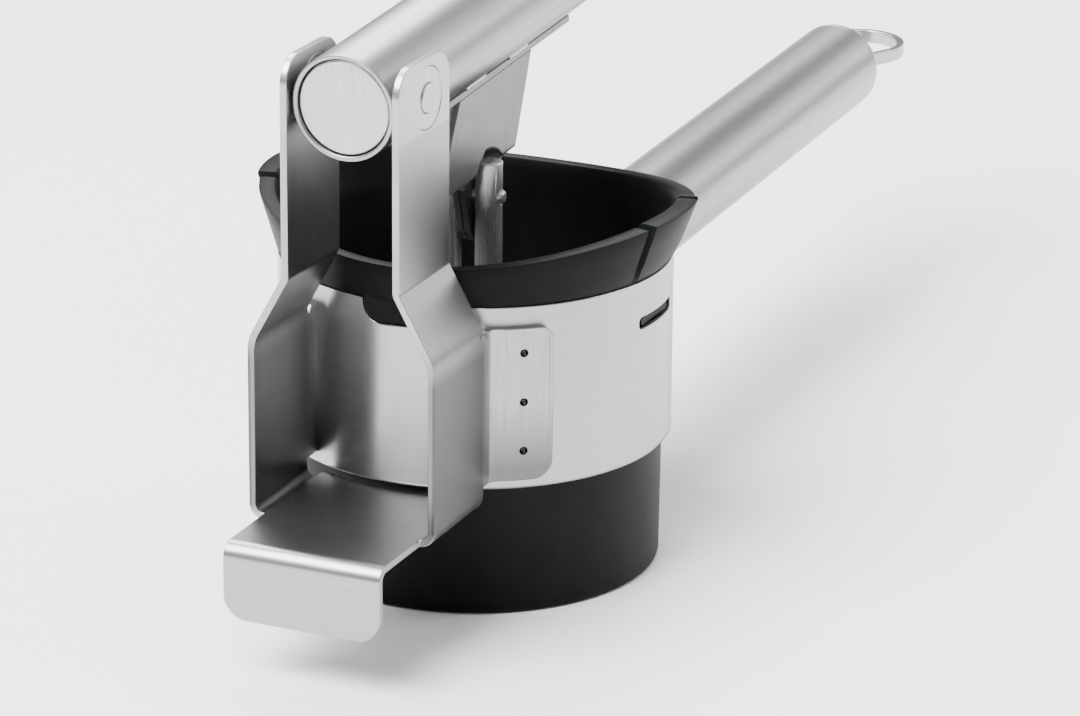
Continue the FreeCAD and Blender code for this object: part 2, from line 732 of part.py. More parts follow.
def plunger():
    """Two rods on one pin, welded to a dished press disc."""
    across = plunger_x()
    height = plunger_pin_z()
    pin = cylinder("LinkPin", (across, "- pin_half", height), "pin_radius", "2 * pin_half",
                   Y_AXIS)
    ends = [(Vector(value_of(across), hand * size("pin_half"),
                    value_of(height) + size("pin_radius")), size("pin_end_round"))
            for hand in (-1, 1)]
    part(fillet("LinkPinEased", pin, ends), "link_pin")

    for label, side in (("right", "- rod_offset"), ("left", "rod_offset")):
        rod = cylinder("Rod" + label, (across, side, "disc_base"), "rod_radius",
                       "rod_top - disc_base", Z_AXIS)
        top = Vector(value_of(across) + size("rod_radius"), value_of(side), size("rod_top"))
        eased = fillet("RodEased" + label, rod, [(top, size("rod_top_round"))])
        hole = across_hole("RodHole" + label, (across, height), "pin_radius")
        part(cut("PlungerRod" + label, eased, hole), "plunger_rod_" + label)

    centre = f"{across} + disc_shift"
    blank = cylinder("DiscBlank", (centre, "0", "disc_base"), "disc_radius", "disc_rim")
    base_edge = Vector(value_of(centre) + size("disc_radius"), 0, size("disc_base"))
    bent = fillet("DiscBent", blank, [(base_edge, size("disc_outer_bend"))])
    dish = cylinder("DiscDish", (centre, "0", "disc_base + disc_sheet"),
                    "disc_radius - disc_sheet", "disc_rim")
    dish_edge = Vector(value_of(centre) + size("disc_radius") - size("disc_sheet"), 0,
                       size("disc_base") + size("disc_sheet"))
    hollow = fillet("DiscHollow", dish, [(dish_edge, size("disc_bend"))])
    rod_holes = [cylinder("DiscHole" + side_name, (across, side, "0"), "rod_radius", "through")
                 for side_name, side in (("Right", "- rod_offset"), ("Left", "rod_offset"))]
    part(cut("PressDisc", bent, hollow, *rod_holes), "press_disc")


holder_ring()
yoke_bracket()
ricer_cup()
strainer_disc()
lower_handle()
upper_handle()
pivot()
press_link()
link_welds()
plunger()
doc.recompute()

for item in doc.Objects:
    if "Invalid" in item.State or "Error" in item.State:
        raise RuntimeError(f"{item.Name} failed: {item.State}")
for item in PARTS:
    if item.Shape.isNull() or not item.Shape.isValid():
        raise RuntimeError(f"{item.Label} has no valid shape")
    if not item.Shape.Solids:
        raise RuntimeError(f"{item.Label} has no solid")

os.makedirs("parts", exist_ok=True)
for item in PARTS:
    item.Shape.exportStep(f"parts/{item.Label}.step")
    bounds = item.Shape.BoundBox
    print(f"{item.Label:24s} solids {len(item.Shape.Solids)}"
          f"  volume {item.Shape.Volume:9.1f}"
          f"  X {bounds.XMin:7.1f} {bounds.XMax:7.1f}"
          f"  Y {bounds.YMin:6.1f} {bounds.YMax:6.1f}"
          f"  Z {bounds.ZMin:6.1f} {bounds.ZMax:6.1f}")
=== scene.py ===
import json
import math

import bmesh
import bpy
from mathutils import Matrix, Vector

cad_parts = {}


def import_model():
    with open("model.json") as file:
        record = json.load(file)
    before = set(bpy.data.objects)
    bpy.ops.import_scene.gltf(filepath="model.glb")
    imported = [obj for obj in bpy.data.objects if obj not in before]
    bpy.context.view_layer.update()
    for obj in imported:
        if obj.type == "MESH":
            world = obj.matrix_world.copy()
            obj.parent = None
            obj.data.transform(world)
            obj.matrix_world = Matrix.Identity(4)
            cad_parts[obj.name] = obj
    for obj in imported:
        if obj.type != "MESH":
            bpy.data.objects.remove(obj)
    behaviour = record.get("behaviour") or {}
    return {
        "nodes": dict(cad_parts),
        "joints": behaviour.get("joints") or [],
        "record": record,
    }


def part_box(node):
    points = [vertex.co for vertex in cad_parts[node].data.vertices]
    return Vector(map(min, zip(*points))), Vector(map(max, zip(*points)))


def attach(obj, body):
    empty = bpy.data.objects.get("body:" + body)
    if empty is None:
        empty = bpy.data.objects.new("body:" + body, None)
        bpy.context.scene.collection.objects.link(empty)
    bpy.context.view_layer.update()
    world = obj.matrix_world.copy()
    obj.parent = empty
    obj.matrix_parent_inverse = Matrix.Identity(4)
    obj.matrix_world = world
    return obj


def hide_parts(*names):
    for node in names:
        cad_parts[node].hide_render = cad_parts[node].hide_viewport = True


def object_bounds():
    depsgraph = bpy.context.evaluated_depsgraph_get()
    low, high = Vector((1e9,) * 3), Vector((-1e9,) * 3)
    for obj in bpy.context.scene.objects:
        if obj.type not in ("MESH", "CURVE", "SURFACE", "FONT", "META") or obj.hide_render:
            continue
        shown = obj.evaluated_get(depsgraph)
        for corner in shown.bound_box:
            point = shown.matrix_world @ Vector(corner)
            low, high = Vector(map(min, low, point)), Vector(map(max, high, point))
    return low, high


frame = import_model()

# The looks of a potato ricer, in metres, around the CAD frame.
# +Z is up the cup's axis, +X runs to the handles' ends, and the yoke is at -X.

MM = 0.001
cad_box = [list(corner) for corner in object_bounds()]
scene = bpy.context.scene


# ---------------------------------------------------------------- mesh helpers

def new_piece(name, points, faces):
    """A shown mesh object from points in metres."""
    mesh = bpy.data.meshes.new(name)
    mesh.from_pydata([tuple(point) for point in points], [], faces)
    mesh.validate()
    piece = bpy.data.objects.new(name, mesh)
    scene.collection.objects.link(piece)
    return piece


def smooth(piece, crease=math.radians(32)):
    """Smooth shading, with edges sharper than the crease kept sharp."""
    work = bmesh.new()
    work.from_mesh(piece.data)
    bmesh.ops.recalc_face_normals(work, faces=work.faces)
    for face in work.faces:
        face.smooth = True
    for edge in work.edges:
        edge.smooth = edge.calc_face_angle(0.0) < crease
    work.to_mesh(piece.data)
    work.free()


def ease(piece, width, plain=()):
    """Round the sharp edges by a bevel of that width, apart from those in plain boxes.

    A plain box is its low and its high (x, z) corner in mm. It holds edges too short or
    too close together for the bevel, which would leave spikes there.
    """
    mesh = piece.data
    left_sharp = {vertex.index for vertex in mesh.vertices for low, high in plain
                  if low[0] * MM < vertex.co.x < high[0] * MM
                  and low[1] * MM < vertex.co.z < high[1] * MM}
    weights = mesh.attributes.new("bevel_weight_edge", "FLOAT", "EDGE")
    for edge, weight in zip(mesh.edges, weights.data):
        rounded = edge.use_edge_sharp and not left_sharp.intersection(edge.vertices)
        weight.value = 1.0 if rounded else 0.0
    bevel = piece.modifiers.new("eased", "BEVEL")
    bevel.width = width
    bevel.segments = 2
    bevel.limit_method = "WEIGHT"
    bevel.use_clamp_overlap = False
    bevel.harden_normals = True


def loop_faces(rows, columns):
    """The faces of closed sections set in a closed row, all with the same corners."""
    faces = []
    for row in range(rows):
        after = (row + 1) % rows
        for column in range(columns):
            beside = (column + 1) % columns
            faces.append((row * columns + column, after * columns + column,
                          after * columns + beside, row * columns + beside))
    return faces


def joined(parts):
    """The points and faces of several (points, faces) parts as one."""
    points, faces = [], []
    for part_points, part_faces in parts:
        first = len(points)
        points += part_points
        faces += [tuple(first + corner for corner in face) for face in part_faces]
    return points, faces


# A flat face with a mouth in it has one long outline with a slit out to the mouth. The
# bevel can leave triangles across the mouth, so such faces are cut up before it.
MOST_CORNERS = 60
WELD_REACH = 0.002 * MM
FLAT_WITHIN = math.radians(0.3)


def welded(node):
    """The points and faces of a CAD node, welded, with its flat faces joined."""
    work = bmesh.new()
    work.from_mesh(frame["nodes"][node].data)
    bmesh.ops.remove_doubles(work, verts=work.verts, dist=WELD_REACH)
    bmesh.ops.dissolve_limit(work, angle_limit=FLAT_WITHIN, verts=work.verts,
                             edges=work.edges)
    slit = [face for face in work.faces if len(face.verts) > MOST_CORNERS]
    bmesh.ops.triangulate(work, faces=slit)
    work.verts.ensure_lookup_table()
    points = [vertex.co.copy() for vertex in work.verts]
    faces = [[vertex.index for vertex in face.verts] for face in work.faces]
    work.free()
    return points, faces


def body_of(node):
    """The body that a CAD node belongs to."""
    bodies = frame["record"]["behaviour"]["bodies"]
    return next(body for body, nodes in bodies.items() if node in nodes)


def stand_for(piece, node, material):
    """The piece takes a CAD node's place and body, in a better material."""
    piece.data.materials.append(material)
    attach(piece, body_of(node))
    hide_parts(node)


def finished(node, material, width, plain=()):
    """A finished copy of a CAD node: welded, smooth, with eased edges."""
    piece = new_piece(node + "_finished", *welded(node))
    smooth(piece)
    ease(piece, width, plain)
    stand_for(piece, node, material)


# ------------------------------------------------------------ material helpers

class Shading:
    """A principled material and short calls for the nodes around it."""

    def __init__(self, name, **constants):
        self.material = bpy.data.materials.new(name)
        self.material.use_nodes = True
        self.tree = self.material.node_tree
        self.shader = self.tree.nodes["Principled BSDF"]
        for socket, value in constants.items():
            self.shader.inputs[socket.replace("_", " ")].default_value = value

    def add(self, kind, inputs=None, **settings):
        """A node with its settings, its inputs linked or set."""
        made = self.tree.nodes.new(kind)
        for key, value in settings.items():
            setattr(made, key, value)
        for socket, value in (inputs or {}).items():
            if isinstance(value, bpy.types.NodeSocket):
                self.tree.links.new(value, made.inputs[socket])
            else:
                made.inputs[socket].default_value = value
        return made

    def place(self):
        """Where a point lies on its piece, in metres in the frame at rest."""
        return self.add("ShaderNodeTexCoord").outputs["Object"]

    def math(self, operation, first, second=0.0):
        """A number worked out from one or two others."""
        return self.add("ShaderNodeMath", {0: first, 1: second},
                        operation=operation).outputs[0]

    def stretched(self, source, scale, pitch=0.0, detail=3.0):
        """Noise, stretched by a scale per axis in periods per metre."""
        tilted = self.add("ShaderNodeMapping", {"Vector": source, "Rotation": (0, pitch, 0)})
        spread = self.add("ShaderNodeMapping", {"Vector": tilted.outputs[0], "Scale": scale})
        noise = self.add("ShaderNodeTexNoise", {"Vector": spread.outputs[0], "Scale": 1.0,
                                                "Detail": detail, "Roughness": 0.6})
        return noise.outputs[0]

    def mix(self, share, low, high):
        """A number between two, by a share from 0 to 1."""
        return self.add("ShaderNodeMapRange", {"Value": share, "To Min": low,
                                               "To Max": high}).outputs[0]

    def step(self, value, start, end):
        """0 below start, 1 above end."""
        return self.add("ShaderNodeMapRange", {"Value": value, "From Min": start,
                                               "From Max": end}).outputs[0]

    def near(self, value, middle, reach):
        """1 within a reach of the middle, 0 elsewhere."""
        return self.add("ShaderNodeMath", {0: value, 1: middle, 2: reach},
                        operation="COMPARE").outputs[0]

    def blend(self, share, low, high):
        """A colour between two, by a share from 0 to 1."""
        mixed = self.add("ShaderNodeMix", {"Factor": share}, data_type="RGBA")
        for socket, value in ((mixed.inputs[6], low), (mixed.inputs[7], high)):
            if isinstance(value, bpy.types.NodeSocket):
                self.tree.links.new(value, socket)
            else:
                socket.default_value = value
        return mixed.outputs[2]

    def finish(self, colour, roughness=None, height=None, depth=0.0):
        """Link colour, roughness and bump to the shader, and give the material."""
        self.tree.links.new(colour, self.shader.inputs["Base Color"])
        if roughness is not None:
            self.tree.links.new(roughness, self.shader.inputs["Roughness"])
        if height is not None:
            bump = self.add("ShaderNodeBump", {"Height": height, "Distance": depth})
            self.tree.links.new(bump.outputs[0], self.shader.inputs["Normal"])
        return self.material


def grey(level, warmth=0.0):
    """A steel's colour: a grey level, a little warm or cool."""
    return (level + warmth, level, level - warmth, 1.0)


# How far a grain round an axis draws out its reflections, and in turns which way.
GRAIN_STRETCH = 0.8
GRAIN_TURN = 0.25
# Fine and broad streaks: the broad ones' scale, each kind's weight, and the noise range used.
BROAD_SCALE = 0.16
FINE_WEIGHT = 0.7
BROAD_WEIGHT = 0.3
STREAK_RANGE = (0.34, 0.66)


def brushed(name, scale, level, contrast, rough, depth, warmth=0.002, pitch=0.0,
            around=0.0, metallic=1.0):
    """Steel with a grain: scale gives the streaks' periods per metre on each axis.

    The grey goes from level - contrast to level + contrast, the roughness from the second
    to the first of rough, and depth is the bump in mm, with no bump at 0. The grain follows
    a handle's pitch. With around set, it runs round the Z axis at that radius in metres,
    and the reflections stretch across it.
    """
    shading = Shading(name, Metallic=metallic)
    source = shading.place()
    if around:
        tangent = shading.add("ShaderNodeTangent", direction_type="RADIAL", axis="Z")
        shading.tree.links.new(tangent.outputs[0], shading.shader.inputs["Tangent"])
        shading.shader.inputs["Anisotropic"].default_value = GRAIN_STRETCH
        shading.shader.inputs["Anisotropic Rotation"].default_value = GRAIN_TURN
        parts = shading.add("ShaderNodeSeparateXYZ", {0: source}).outputs
        back_y = shading.math("MULTIPLY", parts[1], -1.0)
        back_x = shading.math("MULTIPLY", parts[0], -1.0)
        turn = shading.math("ARCTAN2", back_y, back_x)
        arc = shading.math("MULTIPLY", turn, around)
        source = shading.add("ShaderNodeCombineXYZ", {0: arc, 2: parts[2]}).outputs[0]
    fine = shading.stretched(source, scale, pitch)
    broad = shading.stretched(source, [BROAD_SCALE * each for each in scale], pitch, detail=2.0)
    streaks = shading.math("ADD", shading.math("MULTIPLY", fine, FINE_WEIGHT),
                           shading.math("MULTIPLY", broad, BROAD_WEIGHT))
    share = shading.step(streaks, *STREAK_RANGE)
    colour = shading.blend(share, grey(level - contrast, warmth), grey(level + contrast, warmth))
    roughness = shading.mix(share, rough[1], rough[0])
    return shading.finish(colour, roughness, streaks if depth else None, depth * MM)


# ------------------------------------------------------------------- materials

LEVER_PITCH = math.radians(3.33)
LOWER_PITCH = math.radians(1.39)

# Where the yoke's tones change: each pair is the start and the end of one change.
TAB_HEIGHTS = (27.5 * MM, 25.5 * MM)
GRINDER_HEIGHTS = (103.4 * MM, 103.8 * MM)
FOLD_HEIGHTS = (64.0 * MM, 57.0 * MM)
BEND_PLACES = (-36.5 * MM, -40.5 * MM)
OUTER_FACES = (19.1 * MM, 19.5 * MM)
FLANGE_END_HEIGHTS = (46.0 * MM, 32.0 * MM)
FLANGE_RADIUS = 41.5 * MM
PIT_RADII = (FLANGE_RADIUS - 0.10 * MM, FLANGE_RADIUS - 0.35 * MM)
# The pits of the spot welds, painted dark as shade: their turn as y / x, the middle of their
# row, and a reach for each.
PIT_SLOPE = abs(math.tan(math.radians(142.4)))
PIT_SLOPE_REACH = 0.06
PIT_ROW_MIDDLE = 45.7 * MM
PIT_ROW_REACH = 12.0 * MM

PLAIN_GREYS = (0.31, 0.37)
FINER_GREYS = (0.41, 0.44)
# painted reflections: the walls' darker greys stand for dark surroundings that the sheet mirrors
WALL_INSIDE_REFLECTION_GREY = 0.17
WALL_OUTSIDE_REFLECTION_GREY = 0.085
# painted reflection: the flange ends' darker grey
FLANGE_END_REFLECTION_GREY = 0.13
# painted shade: the pits' grey
PIT_SHADE_GREY = 0.04
YOKE_WARMTH = 0.002
YOKE_ROUGHNESS = (0.38, 0.28)
YOKE_GRAIN_UP = (5200, 150, 60)
YOKE_GRAIN_ACROSS = (4200, 45, 4200)
YOKE_GRAIN_DEPTH = 0.0025 * MM
YOKE_STREAK_RANGE = (0.30, 0.70)


def yoke_steel():
    """Brushed sheet: the grain stands up the walls and ears and lies across the tab.

    The darker tones of the walls, flange ends and pits are set by place, after the photo.
    The walls' and flange ends' tones are painted reflections of dark surroundings that the
    real sheet mirrors, and that are left out; the pits' tone is painted shade.
    """
    shading = Shading("yoke_steel", Metallic=1.0)
    source = shading.place()
    parts = shading.add("ShaderNodeSeparateXYZ", {0: source}).outputs
    upright = shading.stretched(source, YOKE_GRAIN_UP)
    across = shading.stretched(source, YOKE_GRAIN_ACROSS)
    low = shading.step(parts[2], *TAB_HEIGHTS)
    high = shading.math("SUBTRACT", 1.0, low)
    streaks = shading.math("ADD", shading.math("MULTIPLY", across, low),
                           shading.math("MULTIPLY", upright, high))
    share = shading.step(streaks, *YOKE_STREAK_RANGE)
    # the ears' tops, above the line that the grinder left, are finer
    fine_top = shading.step(parts[2], *GRINDER_HEIGHTS)
    plain = shading.blend(share, *(grey(level, YOKE_WARMTH) for level in PLAIN_GREYS))
    finer = shading.blend(share, *(grey(level, YOKE_WARMTH) for level in FINER_GREYS))
    colour = shading.blend(fine_top, plain, finer)
    # painted reflection: the walls under the lower folds are darker than the slopes, ears and
    # flanges
    below_fold = shading.step(parts[2], *FOLD_HEIGHTS)
    before_bend = shading.step(parts[0], *BEND_PLACES)
    wall_reflection = shading.math("MULTIPLY", shading.math("MULTIPLY", below_fold, before_bend), high)
    from_middle = shading.math("ABSOLUTE", parts[1])
    outside = shading.step(from_middle, *OUTER_FACES)
    wall_reflection_grey = shading.blend(outside, grey(WALL_INSIDE_REFLECTION_GREY), grey(WALL_OUTSIDE_REFLECTION_GREY))
    colour = shading.blend(wall_reflection, colour, wall_reflection_grey)
    # painted reflection: the flanges darken towards their lower ends
    past_bend = shading.math("SUBTRACT", 1.0, before_bend)
    flange_end_reflection = shading.math("MULTIPLY", past_bend,
                              shading.step(parts[2], *FLANGE_END_HEIGHTS))
    colour = shading.blend(shading.math("MULTIPLY", flange_end_reflection, high), colour,
                           grey(FLANGE_END_REFLECTION_GREY))
    # painted shade: the pits of the spot welds are painted dark inside
    slope = shading.math("ABSOLUTE", shading.math("DIVIDE", parts[1], parts[0]))
    in_turn = shading.near(slope, PIT_SLOPE, PIT_SLOPE_REACH)
    in_row = shading.near(parts[2], PIT_ROW_MIDDLE, PIT_ROW_REACH)
    reach = shading.math("SQRT", shading.math("ADD", shading.math("POWER", parts[0], 2.0),
                                              shading.math("POWER", parts[1], 2.0)))
    deep = shading.step(reach, *PIT_RADII)
    pit_shade = shading.math("MULTIPLY", shading.math("MULTIPLY", in_turn, in_row), deep)
    colour = shading.blend(pit_shade, colour, grey(PIT_SHADE_GREY))
    roughness = shading.mix(share, *YOKE_ROUGHNESS)
    return shading.finish(colour, roughness, streaks, YOKE_GRAIN_DEPTH)


CLOUD_RANGE = (0.35, 0.65)


def black_plastic():
    """Moulded black plastic with a very fine matt texture."""
    shading = Shading("black_plastic", Specular_IOR_Level=0.08)
    source = shading.place()
    speckle = shading.stretched(source, (2600, 2600, 2600))
    cloud = shading.stretched(source, (70, 70, 70), detail=2.0)
    darker, lighter = (0.0024, 0.0030, 0.0034, 1.0), (0.0042, 0.0050, 0.0055, 1.0)
    colour = shading.blend(shading.step(cloud, *CLOUD_RANGE), darker, lighter)
    roughness = shading.mix(speckle, 0.36, 0.58)
    return shading.finish(colour, roughness, speckle, 0.02 * MM)


def weld_metal():
    """Small beads, tinted straw and brown by the heat."""
    shading = Shading("weld_metal", Metallic=1.0)
    blotches = shading.stretched(shading.place(), (900, 900, 900))
    brown, straw = (0.34, 0.29, 0.22, 1.0), (0.55, 0.50, 0.42, 1.0)
    colour = shading.blend(shading.step(blotches, *CLOUD_RANGE), brown, straw)
    roughness = shading.mix(blotches, 0.18, 0.38)
    return shading.finish(colour, roughness, blotches, 0.08 * MM)


YOKE_STEEL = yoke_steel()
RING_STEEL = brushed("ring_steel", (40, 40, 5200), level=0.40, contrast=0.02, depth=0.0,
                     rough=(0.30, 0.34), around=0.040)
LEVER_STEEL = brushed("lever_steel", (40, 3600, 3600), level=0.34, rough=(0.32, 0.42),
                      contrast=0.03, depth=0.002, pitch=LEVER_PITCH)
LOWER_STEEL = brushed("lower_steel", (40, 3600, 3600), level=0.35, rough=(0.30, 0.40),
                      contrast=0.03, depth=0.002, pitch=LOWER_PITCH)
CAP_STEEL = brushed("cap_steel", (3600, 3600, 90), level=0.44, rough=(0.26, 0.36),
                    contrast=0.04, depth=0.002)
# The link and the rods mirror the black cup, so they are part metal, to keep them from black.
LINK_STEEL = brushed("link_steel", (300, 300, 300), level=0.13, warmth=-0.002,
                     rough=(0.28, 0.34), contrast=0.01, depth=0.001, metallic=0.5)
ROD_STEEL = brushed("rod_steel", (3200, 3200, 50), level=0.50, rough=(0.24, 0.34),
                    contrast=0.04, depth=0.002, metallic=0.72)
EYE_STEEL = brushed("eye_steel", (700, 700, 700), level=0.40, rough=(0.16, 0.26),
                    contrast=0.03, depth=0.002)
PRESSED_STEEL = brushed("pressed_steel", (1100, 1100, 1100), level=0.44,
                        rough=(0.27, 0.34), contrast=0.03, depth=0.0005)
BLACK_PLASTIC = black_plastic()
WELD_METAL = weld_metal()


# ------------------------------------------------------------------------- cup

RING_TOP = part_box("holder_ring")[1].z

# The foot, from its inner ledge to its outer edge.
LEDGE_RADIUS = 34.0 * MM
LEDGE_HEIGHT = 0.8 * MM
PLATE_SEAT_RADIUS = 36.95 * MM
PLATE_SEAT_HEIGHT = 1.6 * MM
FOOT_RADIUS = 37.9 * MM
FOOT_ROUND = 0.9 * MM
FOOT_ROUND_MIDDLE = 0.25 * MM
SHOULDER_RADIUS = 38.4 * MM
CUP_WALL = 1.8 * MM

# The collar above the ring: END is towards the handles and the yoke, SIDE across them.
COLLAR_SEAT = RING_TOP + 0.2 * MM
COLLAR_RADIUS = 40.0 * MM
COLLAR_CHAMFER = 0.25 * MM
COLLAR_RISE = 19.0 * MM
COLLAR_END = 40.3 * MM
COLLAR_SIDE = 47.6 * MM
MOUTH_END = 38.4 * MM
MOUTH_SIDE = 43.6 * MM
MOUTH_BASE = COLLAR_SEAT + 1.0 * MM
LIP_EDGE = 0.55 * MM
LIP_CORNER = 0.3 * LIP_EDGE
# How far up the mouth and the collar the section's points stand, as shares of the height.
MOUTH_STATIONS = (0.3, 0.65, 1.0)
COLLAR_STATIONS = (0.66, 0.33, 0.12)

# The lip's saddle curve, with its reach across taken at one height.
SADDLE_LOW = 72.2 * MM
SADDLE_RADIUS = 185.0 * MM
SADDLE_REACH_HEIGHT = 76.0 * MM

# The cup's sections are this many degrees apart, and closer together at the grooves. The
# grooves' stations, clear room, rim and slope are in their half-widths.
TURN_STEP = 3.0
GROOVE_PLACES = [math.radians(side * (90 + away)) for side in (-1, 1) for away in (-13, 15)]
GROOVE_HALF = 0.75 * MM
GROOVE_DEPTH = 0.9 * MM
GROOVE_STATIONS = (-1.6, -1.25, -1.0, -0.8, -0.4, 0.0, 0.4, 0.8, 1.0, 1.25, 1.6)
GROOVE_CLEAR = 2.2
GROOVE_RIM = 1.25
GROOVE_SLOPE = 0.45

LUG_RISE = 0.45 * MM
LUG_HALF_TURN = math.radians(15)
RELIEF_FADE = 2.5 * MM

# The key tongue in the ring's notch, and the catches in the ring's slots at both sides.
PAD_ROOT = SHOULDER_RADIUS - 1.0 * MM
PAD_CORNER_STEPS = 6
KEY_LOW = RING_TOP - 4.8 * MM + 0.25 * MM
KEY_HIGH = COLLAR_SEAT + 3.0 * MM
KEY_HALF = 10.25 * MM
KEY_CORNER = 2.9 * MM
KEY_MIDDLE = 4.2 * MM
KEY_FACE = COLLAR_RADIUS - 0.1 * MM
CATCH_LOW = 55.2 * MM
CATCH_HIGH = 56.8 * MM
CATCH_HALF = 6.6 * MM
CATCH_CORNER = 0.75 * MM
CATCH_FACE = 39.5 * MM


def ellipse_radius(turn, end, side):
    """The radius of an ellipse at one turn, from its two half axes."""
    return 1.0 / math.hypot(math.cos(turn) / end, math.sin(turn) / side)


def saddle_height(across):
    """The height of the lip's saddle at a reach across."""
    return SADDLE_LOW + SADDLE_RADIUS - math.sqrt(SADDLE_RADIUS ** 2 - across ** 2)


def flared(turn, height, base, base_radius, end, side):
    """The radius at one turn and height of a flare that starts round and ends oval."""
    share = (height - base) / (COLLAR_SEAT + COLLAR_RISE - base)
    return ellipse_radius(turn, base_radius + (end - base_radius) * share,
                          base_radius + (side - base_radius) * share)


def away_from(turn, place):
    """The unsigned angle between two turns."""
    return abs((turn - place + math.pi) % (2.0 * math.pi) - math.pi)


def cup_turns():
    """Turns round the cup, closer together at the grooves' sides."""
    turns = {round(math.radians(TURN_STEP * number), 6)
             for number in range(round(360 / TURN_STEP))}
    half = GROOVE_HALF / COLLAR_SIDE
    for place in GROOVE_PLACES:
        turns = {turn for turn in turns if away_from(turn, place) > GROOVE_CLEAR * half}
        for share in GROOVE_STATIONS:
            turns.add(round((place + share * half) % (2.0 * math.pi), 6))
    return sorted(turns)


def groove_share(turn):
    """1 in a groove, 0 outside, with short slopes."""
    half = GROOVE_HALF / COLLAR_SIDE
    nearest = min(away_from(turn, place) for place in GROOVE_PLACES)
    return min(1.0, max(0.0, (GROOVE_RIM * half - nearest) / (GROOVE_SLOPE * half)))


def lug_share(turn):
    """1 on the two lugs at the cup's sides, 0 elsewhere."""
    nearest = min(away_from(turn, side * math.pi / 2.0) for side in (-1, 1))
    return 1.0 if nearest < LUG_HALF_TURN else 0.0


def cup_profile(turn):
    """The cup's closed section at one turn, as (radius, height) pairs."""
    sink = GROOVE_DEPTH * groove_share(turn) - LUG_RISE * lug_share(turn)
    reach = flared(turn, SADDLE_REACH_HEIGHT, COLLAR_SEAT, COLLAR_RADIUS, COLLAR_END,
                   COLLAR_SIDE)
    lip = saddle_height(reach * math.sin(turn)) - sink

    def outer(height, inset=0.0):
        radius = flared(turn, height, COLLAR_SEAT, COLLAR_RADIUS, COLLAR_END, COLLAR_SIDE)
        taken = min(1.0, (height - COLLAR_SEAT) / RELIEF_FADE) * sink
        return (radius - taken - inset, height)

    def inner(height, inset=0.0):
        radius = flared(turn, height, MOUTH_BASE, SHOULDER_RADIUS - CUP_WALL, MOUTH_END,
                        MOUTH_SIDE)
        return (radius + inset, height)

    section = [(LEDGE_RADIUS, 0.0), (LEDGE_RADIUS, LEDGE_HEIGHT),
               (PLATE_SEAT_RADIUS, LEDGE_HEIGHT), (PLATE_SEAT_RADIUS, PLATE_SEAT_HEIGHT),
               (FOOT_RADIUS - CUP_WALL, PLATE_SEAT_HEIGHT),
               (SHOULDER_RADIUS - CUP_WALL, MOUTH_BASE)]
    section += [inner(MOUTH_BASE + (lip - LIP_EDGE - MOUTH_BASE) * share)
                for share in MOUTH_STATIONS]
    section += [inner(lip - LIP_CORNER, LIP_CORNER), inner(lip, LIP_EDGE)]
    section += [outer(lip, LIP_EDGE), outer(lip - LIP_CORNER, LIP_CORNER),
                outer(lip - LIP_EDGE)]
    section += [outer(COLLAR_SEAT + (lip - LIP_EDGE - COLLAR_SEAT) * share)
                for share in COLLAR_STATIONS]
    section += [(COLLAR_RADIUS - COLLAR_CHAMFER, COLLAR_SEAT), (SHOULDER_RADIUS, COLLAR_SEAT),
                (FOOT_RADIUS, FOOT_ROUND), (FOOT_RADIUS - FOOT_ROUND_MIDDLE, FOOT_ROUND_MIDDLE),
                (FOOT_RADIUS - FOOT_ROUND, 0.0)]
    return section


def revolve(sections, turns):
    """Points and faces of closed sections set round the Z axis."""
    points = []
    for section, turn in zip(sections, turns):
        points += [(radius * math.cos(turn), radius * math.sin(turn), height)
                   for radius, height in section]
    return points, loop_faces(len(sections), len(sections[0]))


def rounded_bar(half_length, low, high, radius):
    """The outline of an upright bar with round corners, as (across, up) pairs."""
    outline = []
    for side, level, start in ((1, high - radius, 0), (-1, high - radius, 90),
                               (-1, low + radius, 180), (1, low + radius, 270)):
        for number in range(PAD_CORNER_STEPS + 1):
            angle = math.radians(start + 90.0 * number / PAD_CORNER_STEPS)
            outline.append((side * (half_length - radius) + radius * math.cos(angle),
                            level + radius * math.sin(angle)))
    return outline


def curved_pad(outline, turn, middle, inside, outside):
    """A pad with a flat outline laid on a cylinder between two radii."""
    points = []
    for radius in (inside, outside):
        for across, up in outline:
            angle = turn + (across + middle) / outside
            points.append((radius * math.cos(angle), radius * math.sin(angle), up))
    count = len(outline)
    faces = [tuple(range(count - 1, -1, -1)), tuple(range(count, 2 * count))]
    faces += [(number, (number + 1) % count, count + (number + 1) % count, count + number)
              for number in range(count)]
    return points, faces


def ricer_cup():
    """The moulded cup with its saddle collar, grooves, lugs, key tongue and catches."""
    turns = cup_turns()
    key = rounded_bar(KEY_HALF, KEY_LOW, KEY_HIGH, KEY_CORNER)
    catch = rounded_bar(CATCH_HALF, CATCH_LOW, CATCH_HIGH, CATCH_CORNER)
    parts = [revolve([cup_profile(turn) for turn in turns], turns),
             curved_pad(key, math.pi, KEY_MIDDLE, PAD_ROOT, KEY_FACE)]
    parts += [curved_pad(catch, side * math.pi / 2.0, 0.0, PAD_ROOT, CATCH_FACE)
              for side in (-1, 1)]
    cup = new_piece("cup_moulding", *joined(parts))
    smooth(cup, math.radians(38))
    stand_for(cup, "ricer_cup", BLACK_PLASTIC)


# ------------------------------------------------------------------ press link

LEVER_PIVOT = Vector(next(joint["pos_m"] for joint in frame["joints"]
                          if joint["name"] == "handle_hinge"))
LEVER_PLACE = Matrix.Translation(LEVER_PIVOT) @ Matrix.Rotation(-LEVER_PITCH, 4, "Y")

# The link, with its spots as (along, up) from the lever's pivot in the lever's own plane.
LINK_HALF = 4.2 * MM
LINK_SHEET = 1.4 * MM
LINK_PIN = Vector((43.5 * MM, -35.6 * MM))
LINK_EASE = 0.18 * MM
WEB_FRONT = 22.0 * MM
WEB_BACK = 85.6 * MM
WEB_SINK = 0.05 * MM

